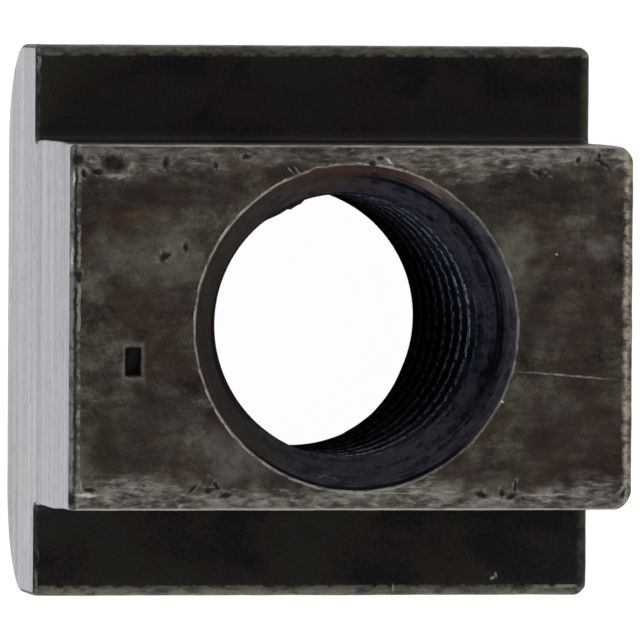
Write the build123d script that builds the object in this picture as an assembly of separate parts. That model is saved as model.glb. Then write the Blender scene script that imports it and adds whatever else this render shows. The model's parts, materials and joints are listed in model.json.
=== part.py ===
from build123d import *
from build123d.topology import SkipClean
import math
import os

# M10 T-slot nut for a 12 mm slot, machined from one piece of steel.
#
# Frame, in millimetres: the underside of the base lies on z = 0 with its middle at the origin, the slot
# runs along X, the flanges reach out along Y, and the neck stands up along +Z between the slot's lips.

# --- Section of the bar ------------------------------------------------------------------------------
neck_width = 11.56         # across the neck, which slides between the lips of the slot
base_width = 17.75         # across the flanges, which run under the lips
height = 13.8              # underside of the base to the top of the neck
base_height = 6.1          # underside of the base to the shoulders that press on the lips
heel_radius = 3.4          # round of the two long edges under the base
shoulder_radius = 0.3      # round of the outer edges of the shoulders
root_fillet = 0.18         # fillet where the neck stands on the shoulders

# --- Length and ends ---------------------------------------------------------------------------------
length = 18.13             # along the slot
tumbled_radius = 0.28      # round of every edge at the +X end
cut_break = 0.12           # break of every edge at the -X end, which is left as it was cut

# --- Threaded bore -----------------------------------------------------------------------------------
bore_offset = 0.13         # the bore's axis stands this far from mid-length, towards the +X end
thread_diameter = 10.0     # M10, across the floors of the grooves
thread_pitch = 1.5         # coarse
flank_angle = 30.0         # between each flank and the plane square to the axis
crest_drop = 1.6           # top of the neck to the upper edge of the first crest, at the +X side
mouth_margin = 0.165       # countersink's rim outside the floors of the grooves
countersink_angle = 58.0   # between opposite sides of the countersink
lower_break = 0.1          # break of the crests' edge at the underside
overcut = 0.1              # how far a cutting shape runs past the surface that it cuts

# --- Inspection punch mark on top of the neck ---------------------------------------------------------
punch_length = 0.55        # along X
punch_width = 0.95         # along Y
punch_depth = 0.35
punch_x = -7.04
punch_y = -1.08

NODE = "t_slot_nut"

# The grooves are five eighths as deep as the sharp V of their pitch and flank angle, and their floors are an
# eighth of the pitch wide, which leaves crests a quarter of the pitch wide.
floor_radius = thread_diameter / 2
floor_half = thread_pitch / 16
crest_radius = floor_radius - 5 / 8 * thread_pitch / (2 * math.tan(math.radians(flank_angle)))
mouth_radius = floor_radius + mouth_margin
countersink_depth = (mouth_radius - crest_radius) / math.tan(math.radians(countersink_angle / 2))


def corners_at(sketch, half_width, level):
    """The pair of section corners at one half-width and one height."""
    return [
        corner
        for corner in sketch.vertices()
        if math.isclose(abs(corner.X), half_width, abs_tol=1e-6)
        and math.isclose(corner.Y, level, abs_tol=1e-6)
    ]


def t_bar():
    """The T section with its rounded corners, drawn out along the slot."""
    with BuildPart() as bar:
        with BuildSketch(Plane.YZ) as section:
            with Locations((0, base_height / 2)):
                Rectangle(base_width, base_height)
            with Locations((0, height / 2)):
                Rectangle(neck_width, height)
            fillet(corners_at(section, base_width / 2, 0), heel_radius)
            fillet(corners_at(section, base_width / 2, base_height), shoulder_radius)
            fillet(corners_at(section, neck_width / 2, base_height), root_fillet)
        extrude(amount=length / 2, both=True)
        fillet(bar.faces().sort_by(Axis.X)[-1].edges(), tumbled_radius)
        chamfer(bar.faces().sort_by(Axis.X)[0].edges(), cut_break)
    return bar.part


def plain_bore():
    """The tapping hole with its countersink, in four quarters so that each wall face spans 90 degrees."""
    with BuildPart() as bore:
        with BuildSketch(Plane.XZ):
            with BuildLine():
                Polyline(
                    (0, -overcut),
                    (crest_radius + lower_break + overcut, -overcut),
                    (crest_radius, lower_break),
                    (crest_radius, height - countersink_depth),
                    (mouth_radius, height),
                    (mouth_radius, height + overcut),
                    (0, height + overcut),
                    close=True,
                )
            make_face()
        revolve(axis=Axis.Z, revolution_arc=90)
    return [Rot(0, 0, 90 * quarter) * bore.part for quarter in range(4)]


def thread_grooves():
    """The V groove between the crests: right-hand coils of one turn, stacked past both faces."""
    open_radius = crest_radius - overcut
    flank_rise = math.tan(math.radians(flank_angle))
    crest_half = floor_half + (floor_radius - crest_radius) * flank_rise
    open_half = floor_half + (floor_radius - open_radius) * flank_rise
    first_middle = height - crest_drop + crest_half
    with BuildPart() as coil:
        with BuildLine() as path:
            Helix(thread_pitch, thread_pitch, floor_radius, center=(0, 0, first_middle))
        with BuildSketch(Plane.XZ):
            with BuildLine():
                Polyline(
                    (open_radius, first_middle - open_half),
                    (floor_radius, first_middle - floor_half),
                    (floor_radius, first_middle + floor_half),
                    (open_radius, first_middle + open_half),
                    close=True,
                )
            make_face()
        sweep(path=path.line, is_frenet=True)
    lowest = -math.ceil((first_middle + open_half) / thread_pitch)
    highest = math.ceil((height - first_middle + open_half) / thread_pitch)
    return [Pos(0, 0, turn * thread_pitch) * coil.part for turn in range(lowest, highest)]


bore_place = Pos(bore_offset, 0, 0)
punch_mark = Pos(punch_x, punch_y, height) * Box(punch_length, punch_width, 2 * punch_depth)
nut = t_bar()
with SkipClean():
    for cutter in [*plain_bore(), *thread_grooves()]:
        nut = nut - bore_place * cutter
    nut = nut - punch_mark

os.makedirs("parts", exist_ok=True)
export_step(nut, f"parts/{NODE}.step")
print(f"{NODE}: {len(nut.solids())} solid, volume {nut.volume:.1f} mm3")
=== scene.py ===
"""Looks of an M10 T-slot nut: one worn, blackened steel piece on a pale studio floor.

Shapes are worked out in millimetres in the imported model's own frame, and become metres when the mesh is
made.
"""

import json
import logging
import math
from dataclasses import dataclass, field
from enum import Enum

import bpy
import numpy as np
from mathutils import Matrix, Vector


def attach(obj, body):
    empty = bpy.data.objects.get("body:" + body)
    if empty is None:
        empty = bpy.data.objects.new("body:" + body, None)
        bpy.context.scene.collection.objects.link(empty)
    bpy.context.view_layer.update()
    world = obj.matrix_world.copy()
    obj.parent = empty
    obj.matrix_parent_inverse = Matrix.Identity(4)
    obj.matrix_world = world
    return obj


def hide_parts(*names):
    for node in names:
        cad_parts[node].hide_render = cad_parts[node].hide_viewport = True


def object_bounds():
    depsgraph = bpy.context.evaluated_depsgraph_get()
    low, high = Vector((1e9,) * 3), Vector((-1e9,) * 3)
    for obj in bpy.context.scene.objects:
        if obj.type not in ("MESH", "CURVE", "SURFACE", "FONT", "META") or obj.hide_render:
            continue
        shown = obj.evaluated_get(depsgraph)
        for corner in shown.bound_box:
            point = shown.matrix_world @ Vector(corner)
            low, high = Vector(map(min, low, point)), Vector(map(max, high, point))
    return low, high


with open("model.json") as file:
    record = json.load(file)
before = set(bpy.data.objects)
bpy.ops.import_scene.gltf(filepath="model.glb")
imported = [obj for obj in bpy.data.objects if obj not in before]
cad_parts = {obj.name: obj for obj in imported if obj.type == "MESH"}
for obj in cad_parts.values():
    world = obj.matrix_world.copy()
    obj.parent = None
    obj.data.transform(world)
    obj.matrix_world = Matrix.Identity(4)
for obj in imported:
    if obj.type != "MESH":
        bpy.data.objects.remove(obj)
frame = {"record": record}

Array = np.ndarray
Socket = bpy.types.NodeSocket

MM = 0.001  # metres in a millimetre
HAIR = 1e-6  # less than any distance that matters, in millimetres
NODE = "t_slot_nut"
CAD_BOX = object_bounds()  # before any piece is made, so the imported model's own box
log = logging.getLogger("t_slot_nut")


class Finish(Enum):
    """The finishes of the skin, in the order of the mesh's material slots."""

    NECK = 0
    FLANGE = 1
    CUT_END = 2
    BORE = 3


# --- Sizes ------------------------------------------------------------------------------------------


def mount(name: str) -> dict:
    """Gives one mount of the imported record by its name."""
    return next(entry for entry in frame["record"]["mounts"] if entry["name"] == name)


@dataclass
class NutSizes:
    """Sizes of the nut in millimetres, read from the frame where the frame states them."""

    half_length: float = CAD_BOX[1][0] / MM
    base_half: float = CAD_BOX[1][1] / MM
    height: float = CAD_BOX[1][2] / MM
    shoulder: float = mount("shoulder_back")["pos_m"][2] / MM
    neck_half: float = mount("neck_back")["pos_m"][1] / MM
    bore_x: float = mount("thread")["pos_m"][0] / MM
    crest_radius: float = mount("thread")["dims"]["r_mm"]
    floor_radius: float = 5.0
    heel_radius: float = 3.4
    shoulder_radius: float = 0.3
    root_radius: float = 0.18
    neck_break: float = 0.05
    cut_round: float = 0.12
    tumbled_round: float = 0.28
    pitch: float = 1.5
    flank_angle: float = 30.0
    floor_half: float = 0.094
    crest_drop: float = 1.6
    cone_depth: float = 1.763
    mouth_radius: float = 5.165
    rim_round: float = 0.04
    lower_break: float = 0.1

    @property
    def flank_slope(self) -> float:
        """Height that a flank of the thread takes for each millimetre of its depth."""
        return math.tan(math.radians(self.flank_angle))

    @property
    def flank_rise(self) -> float:
        """Height that one flank of the thread takes from its crest to its floor."""
        return (self.floor_radius - self.crest_radius) * self.flank_slope


# --- Skin -------------------------------------------------------------------------------------------


def arc(centre: tuple[float, float], radius: float, start: float, end: float, count: int,
        hollow: bool = False) -> Array:
    """Points and outward directions along an arc of the section.

    Each point is the centre plus the radius times (cos a, sin a); outward is that direction, turned round
    where the metal lies outside the arc.

    Args:
        centre: Middle of the arc, as (y, z).
        radius: Radius of the arc.
        start: First angle, in degrees.
        end: Last angle, in degrees.
        count: Number of steps.
        hollow: True where the arc is an inner fillet.

    Returns:
        Rows of y, z, outward y and outward z.
    """
    angle = np.radians(np.linspace(start, end, count + 1))
    direction = np.stack([np.cos(angle), np.sin(angle)], axis=1)
    return np.hstack([np.array(centre) + radius * direction, -direction if hollow else direction])


def line(start: tuple[float, ...], end: tuple[float, ...], count: int) -> Array:
    """Evenly spaced points of a straight stretch of the section, between its ends and without them.

    Args:
        start: First end, as y, z and its outward direction.
        end: Last end, in the same way.
        count: Number of steps.

    Returns:
        Rows of y, z, outward y and outward z, each shared out evenly between the ends.
    """
    return np.linspace(start, end, count + 1)[1:-1]


def ladder(start: float, *runs: tuple[float, int]) -> Array:
    """Stations along one axis: from the start, evenly to each run's end in that run's number of steps.

    Args:
        start: First station.
        *runs: End and number of steps of each run.

    Returns:
        The stations, each end given once.
    """
    stations = [np.array([start])]
    for end, count in runs:
        stations.append(np.linspace(stations[-1][-1], end, count + 1)[1:])
    return np.concatenate(stations)


class Shell:
    """A closed skin, gathered from grids of points that share their border points."""

    WELD = 1.7e-5  # side of a cell of the welding lattice, in millimetres

    def __init__(self) -> None:
        """Starts with no points."""
        self.points: list[Array] = []
        self.triangles: list[Array] = []
        self.finishes: list[Array] = []
        self.count = 0

    def add(self, grid: Array, finish: Finish | Array, flip: bool = False) -> None:
        """Adds a grid of points, with each of its cells cut into two triangles.

        A cell faces the way that its columns' direction, crossed with its rows' direction, points.

        Args:
            grid: Points in rows and columns, as an array of shape (rows, columns, 3).
            finish: The finish of the whole grid, or the number of each column's finish.
            flip: True where the cells have to face the other way.
        """
        rows, columns = grid.shape[:2]
        index = self.count + np.arange(rows * columns).reshape(rows, columns)
        corners = (index[:-1, :-1], index[:-1, 1:], index[1:, 1:], index[1:, :-1])
        a, b, c, d = (corner.ravel() for corner in corners)
        cells = np.concatenate([np.stack([a, b, c], axis=1), np.stack([a, c, d], axis=1)])
        cells = cells[:, ::-1] if flip else cells
        self.points.append(grid.reshape(-1, 3))
        self.triangles.append(cells)
        numbers = finish.value if isinstance(finish, Finish) else finish
        self.finishes.append(np.tile(np.broadcast_to(numbers, (rows - 1, columns - 1)).ravel(), 2))
        self.count += rows * columns

    def welded(self) -> tuple[Array, Array, Array]:
        """Joins the points that fall in one cell of a very fine lattice.

        A triangle that loses a corner is dropped.

        Returns:
            The points, the triangles as point numbers, and each triangle's finish.
        """
        points = np.concatenate(self.points)
        _, first, merged = np.unique(
            np.round(points / self.WELD).astype(np.int64), axis=0, return_index=True, return_inverse=True
        )
        triangles = merged.ravel()[np.concatenate(self.triangles)]
        a, b, c = triangles.T
        whole = (a != b) & (b != c) & (c != a)
        return points[first], triangles[whole], np.concatenate(self.finishes)[whole]


@dataclass
class NutSkin:
    """The bare skin of the nut: section, ends, faces and threaded bore, before any wear."""

    sizes: NutSizes = field(default_factory=NutSizes)
    left_steps: int = 40
    across_steps: int = 96
    right_steps: int = 30
    break_steps: int = 2
    neck_steps: int = 22
    root_steps: int = 3
    shoulder_steps: int = 12
    lip_steps: int = 5
    base_steps: int = 8
    heel_steps: int = 14
    cut_steps: int = 3
    tumbled_steps: int = 5
    ring_steps: int = 16
    ring_growth: float = 1.2
    cap_steps: int = 14
    section_centre: float = 4.5
    mid_flank: float = 0.6
    seat_depths: tuple[float, ...] = (0.4, 0.8, 1.2)

    def across(self) -> Array:
        """Stations across the neck's flat top, in Y."""
        half = self.sizes.neck_half - self.sizes.neck_break
        return np.linspace(-half, half, self.across_steps + 1)

    def along(self) -> Array:
        """Stations along X between the rounds of the two ends.

        Returns:
            The stations; those over the bore match the ones across.
        """
        s, across = self.sizes, self.across()
        left = ladder(s.cut_round - s.half_length, (s.bore_x + across[0], self.left_steps))
        right = ladder(s.bore_x + across[-1], (s.half_length - s.tumbled_round, self.right_steps))
        return np.concatenate([left[:-1], s.bore_x + across, right[1:]])

    def side(self) -> Array:
        """The section's right-hand side, from the top's long edge down to the underside's.

        Where the section shrinks, its sharp top corner keeps its form and moves in along both of its faces.

        Returns:
            Rows of y, z, outward y and outward z.
        """
        s = self.sizes
        top, root = s.height - s.neck_break, s.shoulder + s.root_radius
        lip = s.shoulder - s.shoulder_radius
        inner, outer = s.neck_half + s.root_radius, s.base_half - s.shoulder_radius
        heel = (s.base_half - s.heel_radius, s.heel_radius)
        corner = arc((s.neck_half - s.neck_break, top), s.neck_break, 90, 0, self.break_steps)
        corner[:, 2:] = 1.0
        return np.vstack([
            corner,
            line((s.neck_half, top, 1, 1), (s.neck_half, root, 1, 0), self.neck_steps),
            arc((inner, root), s.root_radius, 180, 270, self.root_steps, hollow=True),
            line((inner, s.shoulder, 0, 1), (outer, s.shoulder, 0, 1), self.shoulder_steps),
            arc((outer, lip), s.shoulder_radius, 90, 0, self.lip_steps),
            line((s.base_half, lip, 1, 0), (s.base_half, s.heel_radius, 1, 0), self.base_steps),
            arc(heel, s.heel_radius, 0, -90, self.heel_steps),
        ])

    def section(self) -> Array:
        """The whole closed section: top, right-hand side, underside and left-hand side, back to its start.

        Returns:
            Rows of y, z, outward y and outward z.
        """
        across, under, side = self.across()[:, None], self.under_across()[:, None], self.side()
        flat = np.ones_like(across)
        top = np.hstack([across, self.sizes.height * flat, across / across[-1], flat])
        bottom = np.hstack([-under, 0 * flat, 0 * flat, -flat])
        return np.vstack([top, side[1:], bottom[1:], side[-2::-1] * [-1, 1, -1, 1]])

    def under_across(self) -> Array:
        """Stations across the flat underside, as many as across the top."""
        half = self.sizes.base_half - self.sizes.heel_radius
        return np.linspace(-half, half, self.across_steps + 1)

    def drawn(self, section: Array, x: Array, inset: Array) -> Array:
        """Carries a section along X: each point moves in by the inset, against its outward direction.

        Args:
            section: Rows of y, z, outward y and outward z.
            x: Stations along X.
            inset: How far the section has shrunk at each station.

        Returns:
            A grid with a row for each station.
        """
        outline = section[None, :, :2] - inset[:, None, None] * section[None, :, 2:]
        places = np.broadcast_to(x[:, None, None], (*outline.shape[:2], 1))
        return np.concatenate([places, outline], axis=2)

    def end(self, radius: float, sign: float, count: int) -> tuple[Array, Array]:
        """Stations and insets round one end's edge: a quarter circle from the side to the end's face.

        Args:
            radius: Radius of the round.
            sign: 1 for the +X end and -1 for the -X end.
            count: Number of steps.

        Returns:
            The stations along X, and the inset at each.
        """
        angle = np.linspace(0, math.pi / 2, count + 1)
        return sign * (self.sizes.half_length - radius * (1 - np.sin(angle))), radius * (1 - np.cos(angle))

    def add_ends(self, shell: Shell) -> None:
        """Adds the rounded edges of both ends and the faces within them.

        An end's face is made of ever smaller copies of its outline about a point from which all of it can be
        seen. The edges take the finish of the neck's top or of the flange, whichever they border; beside the
        cut end, those of the neck's sides are bare.

        Args:
            shell: The skin that is gathered.
        """
        s, section = self.sizes, self.section()
        high = section[:, 1] > s.height - s.tumbled_round - HAIR
        neck = section[:, 1] > s.shoulder + s.root_radius + HAIR
        worn = np.where(high[:-1] & high[1:], Finish.NECK.value, Finish.FLANGE.value)
        bare = np.where(neck[:-1] & neck[1:] & (worn == Finish.FLANGE.value), Finish.CUT_END.value, worn)
        ends = (
            (s.cut_round, -1.0, self.cut_steps, bare, Finish.CUT_END),
            (s.tumbled_round, 1.0, self.tumbled_steps, worn, Finish.FLANGE),
        )
        for radius, sign, count, strip, finish in ends:
            x, inset = self.end(radius, sign, count)
            edge = self.drawn(section, x, inset)
            outline = edge[-1]
            centre = np.array([outline[0, 0], 0.0, self.section_centre])
            share = np.linspace(1, 0, self.cap_steps + 1)[:, None, None]
            shell.add(edge, strip, flip=sign > 0)
            shell.add(centre + share * (outline - centre), finish, flip=sign > 0)

    def add_sides(self, shell: Shell) -> None:
        """Adds both long sides: the broken top corner in the neck's finish, and the rest in the flange's.

        Args:
            shell: The skin that is gathered.
        """
        x, side = self.along(), self.side()
        high = side[:-1, 1] > self.sizes.height - self.sizes.neck_break - HAIR
        finishes = np.where(high, Finish.NECK.value, Finish.FLANGE.value)
        for hand in (1, -1):
            strip = self.drawn(side * [hand, 1, hand, 1], x, np.zeros_like(x))
            shell.add(strip, finishes, flip=hand > 0)

    def loop(self, across: Array, level: float) -> Array:
        """The rectangle of face round the bore, anticlockwise from its front right corner and back to it.

        Args:
            across: Stations across the face.
            level: Height of the face.

        Returns:
            Points of the loop, closed by its first point.
        """
        x = self.sizes.bore_x + self.across()
        right = np.stack([np.full_like(across, x[-1]), across], axis=1)
        back = np.stack([x[::-1], np.full_like(x, across[-1])], axis=1)
        left = np.stack([np.full_like(across, x[0]), across[::-1]], axis=1)
        front = np.stack([x, np.full_like(x, across[0])], axis=1)
        loop = np.vstack([right, back[1:], left[1:], front[1:]])
        return np.hstack([loop, np.full((len(loop), 1), level)])

    def turn(self) -> Array:
        """Angle about the bore's axis of each column of the bore, rising through one whole turn."""
        loop = self.loop(self.across(), self.sizes.height)
        return np.unwrap(np.arctan2(loop[:, 1], loop[:, 0] - self.sizes.bore_x))

    def add_face(self, shell: Shell, across: Array, level: float, rim: Array, finish: Finish) -> None:
        """Adds a flat face with the bore's mouth in it.

        Round the mouth, each ring lies part of the way from the rim to the rectangle that surrounds it; the
        rest of the face is a plain grid to either side.

        Args:
            shell: The skin that is gathered.
            across: Stations across the face.
            level: Height of the face.
            rim: Points of the bore's rim, one for each column of the bore.
            finish: Finish of the face.
        """
        x, loop = self.along(), self.loop(across, level)
        share = np.linspace(0, 1, self.ring_steps + 1)[:, None, None] ** self.ring_growth
        upper = level > 0
        shell.add(rim * (1 - share) + loop * share, finish, flip=upper)
        for stations in (x[: self.left_steps + 1], x[-self.right_steps - 1 :]):
            grid = np.stack(np.meshgrid(stations, across, indexing="ij"), axis=2)
            shell.add(np.dstack([grid, np.full(grid.shape[:2], level)]), finish, flip=upper)

    def bore_radius(self, z: Array, turn: Array) -> Array:
        """Radius of the bore's wall: the widest of the countersink, the lower break and the thread.

        The thread is a trapezoid in the distance from the nearest groove's middle, and the middles climb by
        one pitch a turn, anticlockwise. The countersink is a straight cone that ends in a small rounded rim.

        Args:
            z: Heights.
            turn: Angles about the bore's axis.

        Returns:
            The radius at each height and angle.
        """
        s = self.sizes
        offset = z - self.groove_middle() - s.pitch * turn / (2 * math.pi)
        offset = np.abs(offset - s.pitch * np.round(offset / s.pitch))
        groove = s.floor_radius - np.clip(offset - s.floor_half, 0, None) / s.flank_slope
        levels = s.height - np.array([s.cone_depth, s.rim_round, s.rim_round / 3, 0])
        widths = [s.crest_radius - s.mouth_radius, -s.rim_round / 2, s.rim_round / 4, s.rim_round]
        cone = np.interp(z, levels, s.mouth_radius + np.array(widths))
        foot = np.interp(z, [0, s.lower_break], [s.crest_radius + s.lower_break, s.crest_radius])
        return np.maximum.reduce([groove, cone, foot, np.full_like(z, s.crest_radius)])

    def groove_middle(self) -> float:
        """Height of a groove's middle at the +X side of the bore."""
        s = self.sizes
        return s.height - s.crest_drop + s.floor_half + s.flank_rise

    def bore(self) -> Array:
        """The bore's wall as rows that follow the thread.

        Every edge of the thread is a height that climbs with the angle, and the edges of the countersink stay
        level. Sorted, the heights make rows in which each edge of the wall is kept sharp, and rows beyond a
        face lie on it.

        Returns:
            A grid with a row for each sorted height and a column for each angle.
        """
        s, turn = self.sizes, self.turn()
        flank = s.floor_half + s.flank_rise
        middle = flank * self.mid_flank
        edges = np.array([-s.pitch / 2, -flank, -middle, -s.floor_half, s.floor_half, middle, flank])
        turns = np.arange(-math.ceil(s.height / s.pitch) - 2, 3) * s.pitch
        climbing = self.groove_middle() + (turns[:, None] + edges[None, :]).ravel()
        climbing = climbing[:, None] + s.pitch * turn[None, :] / (2 * math.pi)
        level = s.height - np.array([0, s.rim_round / 3, s.rim_round, *self.seat_depths, s.cone_depth])
        level = np.append(level, [s.lower_break, 0])
        level = np.broadcast_to(level[:, None], (len(level), len(turn)))
        z = np.sort(np.clip(np.vstack([climbing, level]), 0, s.height), axis=0)
        radius = self.bore_radius(z, np.broadcast_to(turn, z.shape))
        return np.stack([s.bore_x + radius * np.cos(turn), radius * np.sin(turn), z], axis=2)

    def build(self) -> tuple[Array, Array, Array]:
        """Gathers and welds the whole skin.

        Returns:
            The points, the triangles and each triangle's finish.
        """
        shell, bore = Shell(), self.bore()
        self.add_ends(shell)
        self.add_sides(shell)
        self.add_face(shell, self.across(), self.sizes.height, bore[-1], Finish.NECK)
        self.add_face(shell, self.under_across(), 0.0, bore[0], Finish.FLANGE)
        shell.add(bore, Finish.BORE, flip=True)
        return shell.welded()


# --- Wear -------------------------------------------------------------------------------------------


class Shade(Enum):
    """How a mark colours the metal, from its middle outwards."""

    PUNCH = "black"
    PIT = "dark, with a faintly rubbed rim"
    RUBBED = "pale"
    BRIGHT = "bare steel"
    RUST = "rust brown"


@dataclass(frozen=True)
class Mark:
    """One mark in the metal, which pushes the points within a box or an oval round its place aside.

    The place, reach and push are in millimetres, and the turn is in degrees about Z. A steep mark has a flat
    middle. A mark without a push only colours the metal, and one without a shade only moves it.
    """

    place: tuple[float, float, float]
    reach: tuple[float, float, float]
    push: tuple[float, float, float] = (0.0, 0.0, 0.0)
    turn: float = 0.0
    steep: float = 1.0
    square: bool = False
    shade: Shade | None = Shade.PIT

    def apply(self, points: Array) -> Array:
        """Pushes the points within reach.

        The share of the push is (1 - d squared) squared, made steeper and capped at 1, where d is the
        distance from the place measured in reaches, round or square, after a turn about Z.

        Args:
            points: The skin's points.

        Returns:
            The moved points.
        """
        away = points - np.array(self.place)
        c, s = math.cos(math.radians(self.turn)), math.sin(math.radians(self.turn))
        away = away @ np.array([[c, -s, 0], [s, c, 0], [0, 0, 1]]) / np.array(self.reach)
        far = np.abs(away).max(axis=1) if self.square else np.linalg.norm(away, axis=1)
        share = np.clip(self.steep * np.clip(1 - far**2, 0, 1) ** 2, 0, 1)
        return points + share[:, None] * np.array(self.push)


@dataclass
class Wear:
    """Unevenness of the scale and the dents, pits, nicks and burrs of the skin."""

    sizes: NutSizes = field(default_factory=NutSizes)
    seed: int = 7
    waves: int = 40
    shortest: float = 0.35
    longest: float = 2.5
    scale_depth: float = 0.011
    cut_depth: float = 0.004
    bore_depth: float = 0.006
    reach_down: float = 0.4
    first_turn: float = 2.75

    def pit(self, x: float, y: float, along: float, across: float, depth: float,
            turn: float = 0.0, steep: float = 1.0) -> Mark:
        """A dark pit in the top of the neck.

        Args:
            x: Where its middle lies along X.
            y: Where its middle lies along Y.
            along: Half its length along X, before the turn.
            across: Half its width along Y, before the turn.
            depth: How far its middle is pushed down.
            turn: Its turn about Z, in degrees.
            steep: How steep its sides are.

        Returns:
            The pit.
        """
        reach = (along, across, self.reach_down)
        return Mark((x, y, self.sizes.height), reach, (0.0, 0.0, -depth), turn, steep)

    def stroke(self, x: float, y: float, along: float, across: float,
               turn: float = 0.0, shade: Shade = Shade.RUBBED, depth: float = 0.0) -> Mark:
        """A stroke or fleck of colour on the top of the neck.

        Args:
            x: Where its middle lies along X.
            y: Where its middle lies along Y.
            along: Half its length along X, before the turn.
            across: Half its width along Y, before the turn.
            turn: Its turn about Z, in degrees.
            shade: How it colours the metal.
            depth: How far its middle is pushed down.

        Returns:
            The stroke.
        """
        reach = (along, across, self.reach_down)
        return Mark((x, y, self.sizes.height), reach, (0.0, 0.0, -depth), turn, shade=shade)

    def pits(self) -> list[Mark]:
        """Lists the pits in the top of the neck, where the real one has them.

        Returns:
            The pits.
        """
        pit = self.pit
        return [
            pit(-7.64, 5.21, 0.5, 0.33, 0.19, turn=-14, steep=1.8),
            pit(-8.2, 4.93, 0.17, 0.11, 0.1, turn=10, steep=1.5),
            pit(-6.01, 5.22, 0.14, 0.19, 0.09, turn=-15, steep=1.5),
            pit(-6.03, 2.26, 0.24, 0.15, 0.09, turn=25, steep=1.4),
            pit(-5.36, 2.55, 0.1, 0.18, 0.05, turn=-10),
            pit(-4.42, 5.16, 0.09, 0.15, 0.05, turn=15),
            pit(-3.44, 5.41, 0.16, 0.1, 0.05),
            pit(0.61, 5.22, 0.15, 0.11, 0.07, steep=1.4),
            pit(0.87, 5.38, 0.15, 0.09, 0.05),
            pit(5.98, 4.92, 0.28, 0.1, 0.07, turn=-24),
            pit(8.02, 5.24, 0.3, 0.08, 0.06, turn=-32),
            pit(7.25, 5.34, 0.09, 0.15, 0.04, turn=-15),
            pit(7.9, 5.5, 0.06, 0.13, 0.03),
            pit(-8.38, -5.13, 0.24, 0.08, 0.06),
            pit(-8.98, -5.42, 0.13, 0.3, 0.05),
            pit(8.76, -5.25, 0.08, 0.2, 0.06, turn=-18),
            pit(-4.57, -5.16, 0.16, 0.11, 0.06),
            pit(-4.03, -5.32, 0.26, 0.12, 0.08, turn=12, steep=1.3),
            pit(-5.1, -5.1, 0.22, 0.07, 0.05, turn=42),
            pit(-4.35, -4.98, 0.24, 0.07, 0.05, turn=-48),
            pit(4.18, -5.28, 0.26, 0.12, 0.07, turn=-12, steep=1.3),
            pit(4.84, -5.24, 0.11, 0.17, 0.07),
            pit(5.14, -5.34, 0.2, 0.11, 0.06, turn=25),
            pit(5.26, -5.02, 0.06, 0.22, 0.04, turn=-8),
            pit(-8.82, 5.32, 0.24, 0.26, 0.04),
            pit(-8.62, 4.88, 0.1, 0.16, 0.05, turn=8),
            pit(-8.78, 1.62, 0.12, 0.26, 0.06, turn=4),
        ]

    def strokes(self) -> list[Mark]:
        """Lists the rubbed strokes, bright nicks and rusty spots, on the neck and on the shoulders.

        Returns:
            The strokes.
        """
        stroke, shoulder = self.stroke, self.sizes.shoulder
        return [
            stroke(1.14, 5.28, 0.2, 0.06, turn=-38, shade=Shade.BRIGHT, depth=0.03),
            stroke(6.56, 2.34, 0.05, 0.035, shade=Shade.BRIGHT),
            stroke(4.81, -2.33, 0.08, 0.06, shade=Shade.BRIGHT),
            stroke(-8.95, 4.72, 0.05, 0.3, turn=-4, shade=Shade.BRIGHT),
            stroke(-8.5, -5.3, 0.46, 0.08, turn=-2, shade=Shade.BRIGHT),
            stroke(-8.68, -4.95, 0.05, 0.32, turn=8),
            stroke(-0.35, -5.44, 0.3, 0.08, turn=4),
            stroke(1.0, -5.24, 2.9, 0.035),
            stroke(6.3, -5.3, 1.4, 0.04, turn=1.5),
            Mark((2.7, -8.62, shoulder), (0.05, 0.15, 0.4), shade=Shade.BRIGHT),
            stroke(-4.15, -5.42, 0.34, 0.07, turn=14),
            stroke(-6.95, -5.2, 0.4, 0.08, turn=-5),
            stroke(-8.42, 5.26, 0.28, 0.08, turn=-12),
            stroke(-7.6, 4.82, 0.42, 0.08, turn=6),
            stroke(6.9, -1.5, 1.95, 0.045, turn=-4.6),
            stroke(-2.02, 4.98, 0.24, 0.035, turn=-44),
            stroke(-1.8, 4.98, 0.24, 0.03, turn=-50),
            stroke(-7.12, 5.1, 0.1, 0.32, turn=-28),
            stroke(-7.35, 4.78, 0.3, 0.07, turn=18),
            stroke(-8.6, 5.0, 0.26, 0.1, turn=-24),
            stroke(-9.0, 2.2, 0.05, 0.5, turn=-3, shade=Shade.BRIGHT),
            stroke(-6.43, -3.46, 0.3, 0.16, shade=Shade.RUST),
            stroke(-6.9, 3.45, 1.2, 0.3, turn=4, shade=Shade.RUST),
            Mark((5.95, -8.3, shoulder), (0.13, 0.05, 0.3), (0, 0, -0.03), turn=38, shade=Shade.BRIGHT),
            Mark((6.06, -8.2, shoulder), (0.04, 0.09, 0.3), turn=20, shade=Shade.BRIGHT),
        ]

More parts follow.
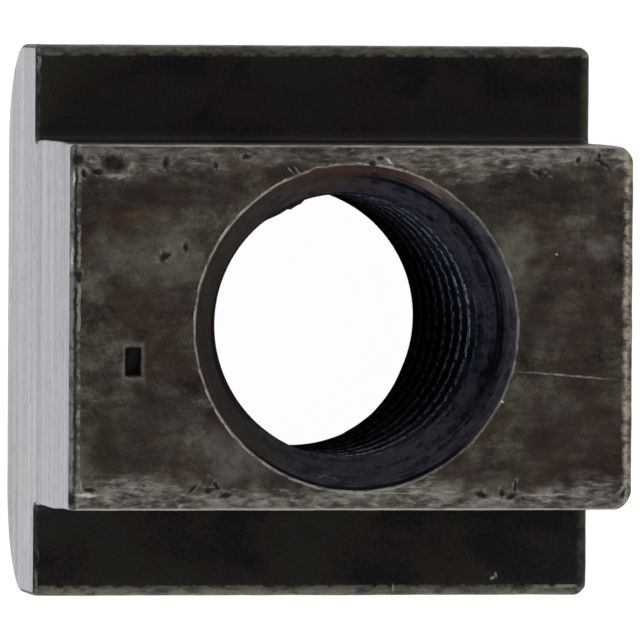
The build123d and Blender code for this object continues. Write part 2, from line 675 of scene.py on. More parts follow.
    def bends(self) -> list[Mark]:
        """Lists the places where the metal is pushed aside without a change of colour.

        They are the broken start of the thread, a nick in the bore's rim, the bent edges beside the cut end,
        and the rounded corners of the +X end.

        Returns:
            The bends.
        """
        top, shoulder = self.sizes.height, self.sizes.shoulder
        right, side, base = self.sizes.half_length, self.sizes.neck_half, self.sizes.base_half
        first = top - self.first_turn
        return [
            Mark((-1.43, 3.95, first), (0.28, 0.5, 0.6), (0.02, -0.08, 0), steep=5, square=True, shade=None),
            Mark((-2.05, 3.75, first), (0.8, 0.6, 0.6), (0.04, -0.08, 0), steep=1.2, shade=None),
            Mark((-1.2, 5.06, top), (0.3, 0.3, 0.4), (0, 0.08, 0), shade=None),
            Mark((-right, -side, shoulder), (1.0, 0.7, 1.0), (0, -0.08, 0), shade=None),
            Mark((-right, -side, 7.8), (1.2, 0.7, 5.2), (0, -0.1, 0), steep=1.5, shade=None),
            Mark((-right, side, 9.0), (0.8, 0.5, 4.5), (0, 0.05, 0), steep=1.5, shade=None),
            Mark((right, side, top), (0.5, 0.5, 2.5), (-0.11, -0.11, 0), shade=None),
            Mark((right, -side, top), (0.6, 0.6, 2.5), (-0.13, 0.13, 0), shade=None),
            Mark((right, base, 4.5), (0.42, 0.42, 4.0), (-0.05, -0.05, 0), shade=None),
            Mark((right, -base, 4.5), (0.42, 0.42, 4.0), (-0.08, 0.08, 0), shade=None),
        ]

    def marks(self) -> list[Mark]:
        """All marks, in the order in which they are sunk.

        Returns:
            The inspection punch, the pits, the strokes and the bends.
        """
        place, reach = (-7.02, -1.08, self.sizes.height), (0.27, 0.47, self.reach_down)
        punch = Mark(place, reach, (0, 0, -0.33), steep=6, square=True, shade=Shade.PUNCH)
        return [punch, *self.pits(), *self.strokes(), *self.bends()]

    def normals(self, points: Array, triangles: Array) -> Array:
        """Outward normal of each point: the sum of its triangles' cross products, made one long.

        Args:
            points: The skin's points.
            triangles: Its triangles.

        Returns:
            One direction for each point.
        """
        a, b, c = (points[triangles[:, corner]] for corner in range(3))
        cross = np.cross(b - a, c - a)
        total = np.stack([
            sum(np.bincount(triangles[:, corner], cross[:, axis], len(points)) for corner in range(3))
            for axis in range(3)
        ], axis=1)
        return total / np.maximum(np.linalg.norm(total, axis=1, keepdims=True), 1e-12)

    def unevenness(self, points: Array) -> Array:
        """A smooth random height at each point: a sum of many sine waves in random directions.

        Longer waves are higher: each one's share is the square root of its part of all the lengths.

        Args:
            points: The skin's points.

        Returns:
            The heights, which lie about nought with a spread of 0.7.
        """
        rng = np.random.default_rng(self.seed)
        directions = rng.normal(size=(self.waves, 3))
        directions /= np.linalg.norm(directions, axis=1, keepdims=True)
        lengths = np.geomspace(self.shortest, self.longest, self.waves)
        phases = rng.uniform(0, 2 * math.pi, self.waves)
        swing = np.sin(points @ (directions * (2 * math.pi / lengths)[:, None]).T + phases)
        return swing @ np.sqrt(lengths / lengths.sum())

    def apply(self, points: Array, triangles: Array, finishes: Array) -> Array:
        """Moves the skin's points inwards by its unevenness, then sinks the marks into it.

        Args:
            points: The bare skin's points.
            triangles: Its triangles.
            finishes: Each triangle's finish.

        Returns:
            The worn skin's points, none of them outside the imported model's box.
        """
        depth_of = np.array([self.scale_depth, self.scale_depth, self.cut_depth, self.bore_depth])
        depth = np.full(len(points), self.scale_depth)
        for corner in range(3):
            np.minimum.at(depth, triangles[:, corner], depth_of[finishes])
        sunk = depth * np.clip(0.5 + 0.5 * self.unevenness(points), 0, 1)
        points = points - sunk[:, None] * self.normals(points, triangles)
        for mark in self.marks():
            points = mark.apply(points)
        return np.clip(points, *(np.array(corner) / MM for corner in CAD_BOX))


# --- Materials --------------------------------------------------------------------------------------


def tone(code: str) -> tuple[float, float, float, float]:
    """Turns a colour as seen on a screen into linear light, by the usual curve.

    Args:
        code: Red, green and blue, as six hexadecimal digits.

    Returns:
        Red, green and blue from 0 to 1, and full cover.
    """
    seen = np.array([int(code[place : place + 2], 16) / 255 for place in (0, 2, 4)])
    linear = np.where(seen <= 0.04045, seen / 12.92, ((seen + 0.055) / 1.055) ** 2.4)
    return (*linear.tolist(), 1.0)


class Tree:
    """The node tree of one material, with a call for each kind of node that the finishes need."""

    STRIPE_CORE = 0.45  # share of a stripe's half width over which it keeps its full strength
    TURNED_SHARE = 0.3  # how fast turned noise changes round the bore, against how fast it does outwards
    DEEP = 4  # how many times deeper a mark's colour reaches than its push

    def __init__(self, name: str) -> None:
        """Makes an empty material whose patterns are measured in millimetres of the object's own space.

        Args:
            name: Name of the material.
        """
        self.material = bpy.data.materials.new(name)
        self.material.use_nodes = True
        self.nodes = self.material.node_tree.nodes
        self.nodes.clear()
        place = self.node("ShaderNodeTexCoord").outputs["Object"]
        self.place = self.node("ShaderNodeVectorMath", place, operation="SCALE", scale=1 / MM).outputs[0]
        parts = self.node("ShaderNodeSeparateXYZ", self.place)
        self.x, self.y, self.z = parts.outputs

    def node(self, kind: str, *inputs: object, scale: float | None = None,
             **settings: object) -> bpy.types.Node:
        """Adds a node, sets its options and fills its inputs in order.

        Args:
            kind: Blender's name of the node.
            *inputs: A socket to link, a value to set, or None to leave the input alone.
            scale: Value of the input called Scale, where it isn't given in order.
            **settings: Options of the node.

        Returns:
            The new node.
        """
        node = self.nodes.new(kind)
        for name, value in settings.items():
            setattr(node, name, value)
        if scale is not None:
            node.inputs["Scale"].default_value = scale
        for place, value in enumerate(inputs):
            self.put(node.inputs[place], value)
        return node

    def put(self, target: Socket, value: object) -> None:
        """Links a socket to an input, or sets the input to a value.

        Args:
            target: The input.
            value: A socket to link, a value to set, or None to leave the input alone.
        """
        if isinstance(value, bpy.types.NodeSocket):
            self.material.node_tree.links.new(value, target)
        elif value is not None:
            target.default_value = value

    def sum(self, operation: str, a: object, b: object = None, c: object = None) -> Socket:
        """One step of arithmetic.

        Args:
            operation: Blender's name of the step, with a star after it to keep the result between 0 and 1.
            a: First value.
            b: Second value, where the step has one.
            c: Third value, where the step has one.

        Returns:
            The result.
        """
        name, clamped = operation.rstrip("*"), operation.endswith("*")
        return self.node("ShaderNodeMath", a, b, c, operation=name, use_clamp=clamped).outputs[0]

    def vector(self, operation: str, a: object, b: object = None) -> Socket:
        """One step of arithmetic on places or directions, by Blender's name of it."""
        return self.node("ShaderNodeVectorMath", a, b, operation=operation).outputs[0]

    def stretched(self, stretch: tuple[float, float, float]) -> Socket:
        """The place, multiplied along each axis."""
        return self.vector("MULTIPLY", self.place, stretch)

    def noise(self, size: float, detail: float = 3.0, rough: float = 0.55, warp: float = 0.0,
              stretch: tuple[float, float, float] = (1.0, 1.0, 1.0), shift: float = 0.0) -> Socket:
        """Cloudy noise.

        Args:
            size: Size of a cloud, in millimetres.
            detail: Number of finer layers.
            rough: Strength of each finer layer.
            warp: How far the clouds are pulled about.
            stretch: Multiplier of the place along each axis.
            shift: Moves the pattern, so that two of one size differ.

        Returns:
            The noise, about 0.5.
        """
        place = self.vector("ADD", self.stretched(stretch), (shift, shift, shift))
        node = self.node("ShaderNodeTexNoise", place, scale=1 / size)
        node.inputs["Detail"].default_value = detail
        node.inputs["Roughness"].default_value = rough
        node.inputs["Distortion"].default_value = warp
        return node.outputs["Fac"]

    def cells(self, size: float, stretch: tuple[float, float, float] = (1.0, 1.0, 1.0)) -> Socket:
        """Distance to the nearest of many scattered points, about the given size apart in millimetres."""
        return self.node("ShaderNodeTexVoronoi", self.stretched(stretch), scale=1 / size).outputs["Distance"]

    def step(self, value: Socket, low: float, high: float, to_low: float = 0.0,
             to_high: float = 1.0) -> Socket:
        """A smooth step from one level to another, as a value rises.

        Args:
            value: The value.
            low: Where the step starts.
            high: Where the step ends.
            to_low: The level before the step.
            to_high: The level after the step.

        Returns:
            The level.
        """
        levels = (low, high, to_low, to_high)
        node = self.node("ShaderNodeMapRange", value, *levels, interpolation_type="SMOOTHSTEP")
        return node.outputs["Result"]

    def all_of(self, *shares: Socket | float) -> Socket:
        """The product of several shares.

        Args:
            *shares: The shares, each from 0 to 1.

        Returns:
            The product.
        """
        product = shares[0]
        for share in shares[1:]:
            product = self.sum("MULTIPLY", product, share)
        return product

    def blend(self, *parts: tuple[Socket, float]) -> Socket:
        """The sum of several values, each times its weight.

        Args:
            *parts: The values and their weights.

        Returns:
            The sum.
        """
        total = self.sum("MULTIPLY", *parts[0])
        for value, weight in parts[1:]:
            total = self.sum("MULTIPLY_ADD", value, weight, total)
        return total

    def stripe(self, value: Socket, middle: float, half: float) -> Socket:
        """One where a value lies about the middle, falling to nothing at half a width from it."""
        away = self.sum("ABSOLUTE", self.sum("SUBTRACT", value, middle))
        return self.step(away, half * self.STRIPE_CORE, half, 1.0, 0.0)

    def radius(self, sizes: NutSizes) -> Socket:
        """Distance from the bore's axis: the root of the sum of the squares across it.

        Args:
            sizes: Sizes of the nut.

        Returns:
            The distance, in millimetres.
        """
        across = self.sum("SUBTRACT", self.x, sizes.bore_x)
        squares = self.sum("ADD", self.sum("POWER", across, 2.0), self.sum("POWER", self.y, 2.0))
        return self.sum("SQRT", squares)

    def turned(self, sizes: NutSizes, size: float, shift: float = 0.0) -> Socket:
        """Noise drawn out round the bore's axis, as a cutting tool leaves it.

        It is noise in a space whose axes are the radius and a part of the angle.

        Args:
            sizes: Sizes of the nut.
            size: Size of the noise across the lines, in millimetres.
            shift: Moves the pattern, so that two of one size differ.

        Returns:
            The noise, about 0.5.
        """
        angle = self.sum("ARCTAN2", self.y, self.sum("SUBTRACT", self.x, sizes.bore_x))
        drawn_out = self.sum("MULTIPLY", angle, self.TURNED_SHARE)
        turned = self.node("ShaderNodeCombineXYZ", self.radius(sizes), drawn_out, shift).outputs[0]
        return self.node("ShaderNodeTexNoise", turned, scale=1 / size).outputs["Fac"]

    def strayed(self, size: float, reach: float, shift: float = 0.0) -> Socket:
        """The place, pulled about by noise.

        The noise seldom lies more than a quarter from its middle, so four times that distance is about the
        share of the reach.

        Args:
            size: Size of the noise, in millimetres.
            reach: How far the place is pulled along each axis, in millimetres.
            shift: Moves the pattern, so that two of one size differ.

        Returns:
            The pulled place.
        """
        place = self.vector("ADD", self.place, (shift, shift, shift))
        stray = self.node("ShaderNodeTexNoise", place, scale=1 / size).outputs["Color"]
        stray = self.vector("SUBTRACT", stray, (0.5, 0.5, 0.5))
        stray = self.node("ShaderNodeVectorMath", stray, operation="SCALE", scale=4 * reach).outputs[0]
        return self.vector("ADD", self.place, stray)

    def nearest(self, marks: list[Mark], place: Socket) -> Socket:
        """Distance to the nearest of the marks, in that mark's own reaches.

        Args:
            marks: The marks; their reach in Z counts several times over, so that a pit's floor belongs to it.
            place: The place, which may be strayed to make the outlines ragged.

        Returns:
            The distance, which is 1 at a mark's outline.
        """
        least = None
        for mark in marks:
            turn, reach = (0, 0, math.radians(mark.turn)), (*mark.reach[:2], self.DEEP * mark.reach[2])
            away = self.node("ShaderNodeMapping", place, mark.place, turn, reach, vector_type="TEXTURE")
            away = away.outputs[0]
            if mark.square:
                parts = self.node("ShaderNodeSeparateXYZ", self.vector("ABSOLUTE", away)).outputs
                far = self.sum("MAXIMUM", parts[0], parts[1])
            else:
                far = self.node("ShaderNodeVectorMath", away, operation="LENGTH").outputs["Value"]
            least = far if least is None else self.sum("MINIMUM", least, far)
        return least

    def colours(self, value: Socket, *stops: tuple[float, str]) -> Socket:
        """A band of colours along a value.

        Args:
            value: The value.
            *stops: Places along the band, and the colour of each.

        Returns:
            The colour at the value.
        """
        node = self.node("ShaderNodeValToRGB", value)
        band = node.color_ramp.elements
        while len(band) < len(stops):
            band.new(0.5)
        for element, (place, code) in zip(band, stops):
            element.position = place
            element.color = tone(code)
        return node.outputs["Color"]

    def mix(self, share: Socket | float, first: object, second: object) -> Socket:
        """Mixes two colours.

        Args:
            share: The second colour's share.
            first: First colour, as a socket or as six hexadecimal digits.
            second: Second colour, in the same way.

        Returns:
            The mixed colour.
        """
        node = self.node("ShaderNodeMix", data_type="RGBA")
        for place, value in ((0, share), (6, first), (7, second)):
            self.put(node.inputs[place], tone(value) if isinstance(value, str) else value)
        return node.outputs[2]

    def finish(self, colour: Socket, rough: Socket | float, height: Socket, bump: float, metal: float,
               gloss: float) -> bpy.types.Material:
        """Ends the tree in the surface shader.

        Args:
            colour: Base colour.
            rough: Roughness.
            height: Height of the fine relief.
            bump: Depth of the relief, in millimetres.
            metal: How metallic the surface is.
            gloss: Specular level.

        Returns:
            The finished material.
        """
        shader = self.node("ShaderNodeBsdfPrincipled")
        relief = self.node("ShaderNodeBump")
        relief.inputs["Strength"].default_value = 1.0
        relief.inputs["Distance"].default_value = bump * MM
        self.put(relief.inputs["Height"], height)
        self.put(shader.inputs["Base Color"], colour)
        self.put(shader.inputs["Roughness"], rough)
        self.put(shader.inputs["Normal"], relief.outputs[0])
        shader.inputs["Metallic"].default_value = metal
        shader.inputs["Specular IOR Level"].default_value = gloss
        self.node("ShaderNodeOutputMaterial", shader.outputs[0])
        return self.material


@dataclass(frozen=True)
class Stain:
    """A broad soft stain on top of the neck: its middle, its half lengths, its colour and its strength."""

    x: float
    y: float
    along: float
    across: float
    colour: str
    share: float

    def mark(self) -> Mark:
        """The stain's outline, as a mark that reaches through the whole nut."""
        return Mark((self.x, self.y, 0.0), (self.along, self.across, 9.0), shade=None)


@dataclass(frozen=True)
class NeckFinish:
    """Worn black oxide of the neck: mottled olive grey and brown, scuffed pale, with painted edge highlights.
    """

    dark: str = "13100d"
    olive: str = "2f2b24"
    pale: str = "504d43"
    brown: str = "261812"
    purple: str = "282125"
    rust: str = "3a2217"
    scuff: str = "76736c"
    speck: str = "0c0a09"
    # pale of rubbed wear, also the colour of the painted highlights on the long edges and the bore's rim
    edge: str = "8f8b84"
    bright: str = "b0afaa"
    strip: str = "0c0d12"
    steel: str = "727277"
    yellow: str = "8d8777"

    def stains(self) -> list[Stain]:
        """Lists the stains, light and dark, where the real one has them.

        Returns:
            The stains.
        """
        return [
            Stain(-6.65, 4.25, 2.3, 0.75, "1a1511", 0.75),
            Stain(-6.0, 2.3, 1.5, 1.5, "5c594e", 0.6),
            Stain(-7.95, 2.5, 0.7, 0.8, "57554a", 0.5),
            Stain(-6.8, 0.5, 1.3, 1.0, "33231a", 0.55),
            Stain(-6.2, -2.5, 1.1, 0.9, "1e2226", 0.65),
            Stain(-8.0, -3.9, 0.9, 1.2, "211f13", 0.6),
            Stain(-7.1, -3.2, 1.9, 1.2, "1e1b15", 0.6),
            Stain(-6.1, -4.3, 1.6, 0.6, "2a211b", 0.5),
            Stain(-3.8, -4.1, 1.2, 1.2, "5e5b55", 0.6),
            Stain(6.4, 4.2, 2.4, 0.75, "15110f", 0.85),
            Stain(5.3, 2.1, 0.8, 1.5, "625f54", 0.65),
            Stain(7.5, 1.2, 1.2, 2.0, "33251f", 0.5),
            Stain(8.0, 2.55, 0.5, 0.35, "68625b", 0.5),
            Stain(6.3, -0.4, 0.9, 0.5, "2b2d33", 0.5),
            Stain(6.8, -3.3, 2.2, 1.5, "261b17", 0.65),
        ]

    def ground(self, tree: Tree) -> Socket:
        """The mottled and stained colour away from all edges.

        Args:
            tree: The material's nodes.

        Returns:
            The colour.
        """
        clouds, patches = tree.noise(1.8, 4.0, 0.6, 0.5), tree.noise(0.5, 3.0, 0.6, 0.3, shift=61.0)
        grain = tree.noise(0.12, 2.0, 0.6)
        brushed = tree.noise(0.3, 3.0, 0.6, stretch=(0.25, 1.0, 1.0), shift=71.0)
        mottle = tree.blend((clouds, 0.44), (patches, 0.2), (grain, 0.16), (brushed, 0.2))
        colour = tree.colours(mottle, (0.4, self.dark), (0.5, self.olive), (0.62, self.pale))
        browned = tree.step(tree.noise(1.5, 4.0, 0.6, 0.6, shift=11.0), 0.45, 0.62)
        colour = tree.mix(tree.all_of(browned, 0.6), colour, self.brown)
        purpled = tree.step(tree.noise(1.2, 3.0, 0.6, 0.4, shift=41.0), 0.54, 0.66)
        colour = tree.mix(tree.all_of(purpled, 0.45), colour, self.purple)
        uneven = tree.step(patches, 0.3, 0.68, 0.5, 1.0)
        for stain in self.stains():
            far = tree.nearest([stain.mark()], tree.strayed(0.8, 0.3, shift=stain.x))
            share = tree.all_of(tree.step(far, 0.3, 1.25, stain.share, 0.0), uneven)
            colour = tree.mix(share, colour, stain.colour)
        return colour

    def bands(self, tree: Tree, inset: Socket, fine: Socket, broad: Socket, colour: Socket) -> Socket:
        """The scuffed bands along the long edges, with pale flecks and dark specks.

        The band at the back is weaker towards the cut end.

        Args:
            tree: The material's nodes.
            inset: Distance from the nearer long edge.
            fine: Noise drawn out along the edges.
            broad: Broader noise of the same kind.
            colour: Colour below the bands.

        Returns:
            The colour.
        """
        width = tree.step(tree.noise(2.2, 3.0, 0.6, shift=7.0), 0.34, 0.66, 0.6, 1.25)
        band = tree.step(tree.sum("DIVIDE", inset, width), 0.5, 1.15, 1.0, 0.0)
        weak = tree.all_of(tree.step(tree.y, 0.0, 1.0), tree.step(tree.x, -1.0, 5.0, 0.5, 0.0))
        band = tree.all_of(band, tree.sum("SUBTRACT", 1.0, weak))
        speckle = tree.step(tree.blend((fine, 0.6), (broad, 0.4)), 0.38, 0.64, 0.05, 1.0)
        colour = tree.mix(tree.all_of(band, speckle, 0.85), colour, self.scuff)
        flecks = tree.all_of(tree.step(fine, 0.58, 0.7), band, 0.6)
        colour = tree.mix(flecks, colour, self.edge)
        specks = tree.step(tree.cells(0.28), 0.06, 0.26, 1.0, 0.0)
        sparse = tree.step(tree.noise(0.8, 2.0, shift=29.0), 0.46, 0.58)
        return tree.mix(tree.all_of(specks, sparse, band, 0.85), colour, self.speck)

    def rounded_end(self, tree: Tree, sizes: NutSizes, fine: Socket, broad: Socket, colour: Socket) -> Socket:
        """The worn yellowish strip where the top rounds over into the far end, and the olive beyond it.

        Args:
            tree: The material's nodes.
            sizes: Sizes of the nut.
            fine: Noise drawn out along the edges.
            broad: Broader noise of the same kind.
            colour: Colour below the strip.

        Returns:
            The colour.
        """
        ragged = tree.noise(0.4, 4.0, 0.65, 0.3, shift=31.0)
        along = tree.sum("MULTIPLY_ADD", tree.sum("SUBTRACT", ragged, 0.5), 0.32, tree.x)
        rounded = tree.step(along, sizes.half_length - 0.4, sizes.half_length - 0.22)
        worn = tree.step(tree.blend((fine, 0.5), (ragged, 0.5)), 0.4, 0.56, 0.15, 1.0)
        colour = tree.mix(tree.all_of(rounded, worn), colour, self.yellow)
        beyond = tree.step(along, sizes.half_length - 0.22, sizes.half_length - 0.12)
        return tree.mix(tree.all_of(beyond, tree.step(broad, 0.4, 0.58, 0.75, 0.2)), colour, self.olive)

    def edges(self, tree: Tree, sizes: NutSizes, colour: Socket) -> Socket:
        """The bands along the long edges, the rounded end and the pale edge lines: painted highlight and
        rubbed wear.

        Args:
            tree: The material's nodes.
            sizes: Sizes of the nut.
            colour: Colour away from the edges.

        Returns:
            The colour.
        """
        inset = tree.sum("SUBTRACT", sizes.neck_half, tree.sum("ABSOLUTE", tree.y))
        fine = tree.noise(0.2, 4.0, 0.62, 0.25, stretch=(0.45, 1.3, 1.0), shift=13.0)
        broad = tree.noise(0.7, 3.0, 0.6, 0.4, stretch=(0.6, 1.2, 1.0), shift=19.0)
        colour = self.bands(tree, inset, fine, broad, colour)
        colour = self.rounded_end(tree, sizes, fine, broad, colour)
        # Painted highlight, partly rubbed wear: a broken pale line along each long edge, painted stronger at
        # the front, which faces the key lamp.
        broken = tree.step(tree.noise(0.8, 4.0, 0.65, shift=37.0), 0.34, 0.6, 0.3, 0.9)
        fuller = tree.sum("ADD*", broken, tree.step(tree.y, -1.0, 1.0, 0.3, 0.0))
        return tree.mix(tree.all_of(tree.step(inset, 0.03, 0.08, 1.0, 0.0), fuller), colour, self.edge)

    def borders(self, tree: Tree, sizes: NutSizes, colour: Socket) -> Socket:
        """The dark strip beside the cut end with its thin broken lines, and a painted highlight on the bore's
        rim.

        Args:
            tree: The material's nodes.
            sizes: Sizes of the nut.
            colour: Colour away from the borders.

        Returns:
            The colour.
        """
        broken = tree.step(tree.noise(0.45, 4.0, 0.7, shift=43.0), 0.4, 0.58)
        stray = tree.sum("SUBTRACT", tree.noise(0.45, 3.0, 0.6, shift=53.0), 0.5)
        along = tree.sum("MULTIPLY_ADD", stray, 0.14, tree.sum("ADD", tree.x, sizes.half_length))
        dull = tree.step(broken, 0.0, 1.0, 0.8, 0.5)
        colour = tree.mix(tree.all_of(tree.step(along, 0.2, 0.3, 1.0, 0.0), dull), colour, self.strip)
        lines = ((0.05, 0.11, 0.3, 0.75, self.steel), (0.29, 0.08, 0.5, 0.05, self.edge))
        for middle, half, low, high, light in lines:
            share = tree.step(broken, 0.0, 1.0, low, high)
            colour = tree.mix(tree.all_of(tree.stripe(along, middle, half), share), colour, light)
        # Painted highlight: a thin broken pale line round the bore's rim, fainter on the right and at the
        # front.
        radius = tree.sum("MULTIPLY_ADD", stray, 0.1, tree.radius(sizes))
        ring = tree.stripe(radius, sizes.mouth_radius + 0.05, 0.038)
        faint = tree.all_of(tree.step(tree.x, 0.5, 3.5, 1.0, 0.45), tree.step(tree.y, -4.6, -3.6, 0.6, 1.0))
        share = tree.all_of(ring, tree.step(broken, 0.0, 1.0, 0.2, 1.0), faint)
        return tree.mix(share, colour, self.edge)

    def marked(self, tree: Tree, marks: list[Mark], colour: Socket) -> Socket:
        """The colours of the marks: dark pits with rubbed rims, rubbed strokes, bright nicks and rust.

        Args:
            tree: The material's nodes.
            marks: The marks, each with its own shade.
            colour: Colour away from the marks.

        Returns:
            The colour.
        """
        ragged, plain = tree.strayed(0.16, 0.032), tree.strayed(0.3, 0.012)
        outlines = {Shade.PUNCH: plain, Shade.PIT: ragged, Shade.RUBBED: plain, Shade.BRIGHT: ragged,
                    Shade.RUST: ragged}
        punch, pit, rubbed, bright, rust = (
            tree.nearest([mark for mark in marks if mark.shade is shade], outline)
            for shade, outline in outlines.items()
        )
        broken = tree.step(tree.noise(0.16, 3.0, 0.6, shift=67.0), 0.35, 0.62)
        colour = tree.mix(tree.step(rust, 0.0, 1.4, 0.5, 0.0), colour, self.rust)
        stroke = tree.all_of(tree.step(rubbed, 0.2, 1.1, 0.6, 0.0), tree.step(broken, 0.0, 1.0, 0.35, 1.0))
        colour = tree.mix(stroke, colour, self.edge)
        rim = tree.all_of(tree.step(pit, 1.0, 2.1, 0.42, 0.0), tree.step(broken, 0.2, 1.0))
        colour = tree.mix(rim, colour, self.scuff)
        colour = tree.mix(tree.step(pit, 0.4, 1.3, 0.92, 0.0), colour, self.speck)
        rim = tree.all_of(tree.step(punch, 0.95, 1.55, 0.42, 0.0), tree.step(broken, 0.0, 1.0, 0.5, 1.0))
        colour = tree.mix(rim, colour, self.scuff)
        colour = tree.mix(tree.step(punch, 0.85, 1.15, 0.98, 0.0), colour, self.speck)
        return tree.mix(tree.step(bright, 0.3, 1.1, 0.75, 0.0), colour, self.bright)

    def build(self, sizes: NutSizes) -> bpy.types.Material:
        """Makes the material.

        Args:
            sizes: Sizes of the nut.

        Returns:
            The material.
        """
        tree = Tree("worn_oxide")
        colour = self.edges(tree, sizes, self.ground(tree))
        colour = self.borders(tree, sizes, colour)
        colour = self.marked(tree, Wear(sizes).marks(), colour)
        grain, blotches = tree.noise(0.12, 3.0, 0.65, shift=3.0), tree.noise(0.5, 3.0, 0.6, 0.4, shift=19.0)
        pits = tree.step(tree.cells(0.3), 0.05, 0.2)
        height = tree.blend((grain, 0.6), (pits, 0.3), (blotches, 0.8))
        rough = tree.step(blotches, 0.35, 0.65, 0.6, 0.48)
        return tree.finish(colour, rough, height, bump=0.02, metal=0.0, gloss=0.1)


@dataclass(frozen=True)
class FlangeFinish:
    """Unworn black oxide of the base: near black with faint clouds of brown and green, worn at its edges,
    with painted highlights.
    """

    black: str = "08080b"
    brown: str = "1b1411"
    green: str = "151914"
    # grey of the worn side edges, partly a painted highlight
    edge: str = "575648"
    olive: str = "34372a"
    # light grey of the bright nicks and of the thin edge lines, those along the sides being painted
    # highlights
    light: str = "8a8a82"

    def ground(self, tree: Tree, grain: Socket) -> Socket:
        """The clouded near black away from all edges.

        Args:
            tree: The material's nodes.
            grain: Fine noise.

        Returns:
            The colour.
        """
        clouds = tree.noise(2.4, 3.0, 0.5, 0.4, stretch=(0.7, 1.0, 1.0), shift=5.0)
        shades = tree.blend((clouds, 0.8), (grain, 0.2))
        return tree.colours(shades, (0.4, self.black), (0.5, self.brown), (0.6, self.green))

    def edges(self, tree: Tree, sizes: NutSizes, streaks: Socket, lip: Socket, colour: Socket) -> Socket:
        """The worn edges of the shoulders: olive at the far end, and greyer along the sides, partly painted
        highlight.

        Args:
            tree: The material's nodes.
            sizes: Sizes of the nut.
            streaks: Noise drawn out along the edges.
            lip: One at the height of the shoulders, and nothing away from it.
            colour: Colour away from the edges.

        Returns:
            The colour.
        """
        aside = tree.sum("ABSOLUTE", tree.y)
        worn = tree.step(streaks, 0.34, 0.6, 0.15, 1.0)
        end = tree.step(tree.x, sizes.half_length - 0.42, sizes.half_length - 0.2)
        colour = tree.mix(tree.all_of(end, lip, worn, 0.7), colour, self.olive)
        # Partly painted highlight: the grey band on the rounded side edges is painted stronger at the front,
        # which faces the key lamp.
        side = tree.step(aside, sizes.base_half - 0.34, sizes.base_half - 0.18)
        fuller = tree.step(tree.y, -1.0, 1.0, 1.0, 0.8)
        return tree.mix(tree.all_of(side, lip, worn, fuller), colour, self.edge)

    def lines(self, tree: Tree, sizes: NutSizes, lip: Socket, colour: Socket) -> Socket:
        """Thin broken light lines along the sides, as painted highlights, and beside the cut end, strongest
        near the corners.

        Args:
            tree: The material's nodes.
            sizes: Sizes of the nut.
            lip: One at the height of the shoulders, and nothing away from it.
            colour: Colour below the lines.

        Returns:
            The colour.
        """
        aside = tree.sum("ABSOLUTE", tree.y)
        # Painted highlight: a thin broken line along each side's rounded edge, strongest towards the far end.
        broken = tree.step(tree.noise(0.5, 4.0, 0.7, shift=47.0), 0.42, 0.6)
        near = tree.step(tree.x, sizes.half_length - 2.6, sizes.half_length - 0.6, 0.35, 0.9)
        side = tree.all_of(tree.stripe(aside, sizes.base_half - 0.3, 0.07), lip, broken, near, 0.6)
        colour = tree.mix(side, colour, self.light)
        stray = tree.sum("SUBTRACT", tree.noise(0.5, 3.0, 0.6, shift=53.0), 0.5)
        along = tree.sum("MULTIPLY_ADD", stray, 0.3, tree.sum("ADD", tree.x, sizes.half_length))
        corner = tree.step(aside, sizes.base_half - 1.2, sizes.base_half - 0.35)
        fuller = tree.step(corner, 0.0, 1.0, 0.1, 0.5)
        return tree.mix(tree.all_of(tree.stripe(along, 0.1, 0.07), broken, lip, fuller), colour, self.light)

    def nicks(self, tree: Tree, sizes: NutSizes, colour: Socket) -> Socket:
        """The bright nicks in the shoulders.

        Args:
            tree: The material's nodes.
            sizes: Sizes of the nut.
            colour: Colour away from the nicks.

        Returns:
            The colour.
        """
        nicks = [mark for mark in Wear(sizes).strokes() if mark.place[2] == sizes.shoulder]
        far = tree.nearest(nicks, tree.strayed(0.14, 0.03))
        return tree.mix(tree.step(far, 0.1, 1.2, 0.75, 0.0), colour, self.light)

    def build(self, sizes: NutSizes) -> bpy.types.Material:
        """Makes the material.

        Args:
            sizes: Sizes of the nut.

        Returns:
            The material.
        """
        tree = Tree("black_oxide")
        grain = tree.noise(0.12, 3.0, 0.6)
        streaks = tree.noise(0.4, 5.0, 0.7, 0.5, stretch=(0.5, 1.0, 1.0), shift=17.0)
        lip = tree.step(tree.z, sizes.shoulder - 0.5, sizes.shoulder - 0.25)
        lip = tree.all_of(lip, tree.step(tree.z, sizes.shoulder + 0.1, sizes.shoulder + 0.3, 1.0, 0.0))
        colour = self.edges(tree, sizes, streaks, lip, self.ground(tree, grain))
        colour = self.nicks(tree, sizes, self.lines(tree, sizes, lip, colour))
        height = tree.blend((grain, 1.0), (streaks, 0.6))
        rough = tree.step(grain, 0.3, 0.7, 0.36, 0.52)
        return tree.finish(colour, rough, height, bump=0.008, metal=0.0, gloss=0.15)


@dataclass(frozen=True)
class CutEndFinish:
    """Bare steel of the end that the saw left: bright grey, with fine lines straight across the slot."""

    dark: str = "78787d"
    light: str = "b2b0b6"
    green: str = "9ba19f"
    speck: str = "3f3f46"

    def build(self, sizes: NutSizes) -> bpy.types.Material:
        """Makes the material.

        Args:
            sizes: Sizes of the nut, which this finish doesn't depend on.

        Returns:
            The material.
        """
        tree = Tree("cut_steel")
        broad = tree.noise(1.3, 2.0, 0.5, stretch=(1.0, 0.02, 1.0))
        fine = tree.noise(0.3, 4.0, 0.7, stretch=(1.0, 0.03, 1.0), shift=3.0)
        grain = tree.noise(0.12, 2.0, 0.6, stretch=(1.0, 0.4, 1.0), shift=9.0)
        lines = tree.blend((broad, 0.38), (fine, 0.36), (grain, 0.26))
        colour = tree.colours(lines, (0.38, self.dark), (0.6, self.light))
        tinted = tree.step(tree.noise(2.2, 2.0, shift=15.0), 0.5, 0.7, 0.0, 0.3)
        colour = tree.mix(tinted, colour, self.green)
        specks = tree.step(tree.cells(0.42, stretch=(1.0, 0.35, 1.0)), 0.05, 0.16, 0.8, 0.0)
        colour = tree.mix(specks, colour, self.speck)
        return tree.finish(colour, 0.42, lines, bump=0.012, metal=1.0, gloss=0.5)


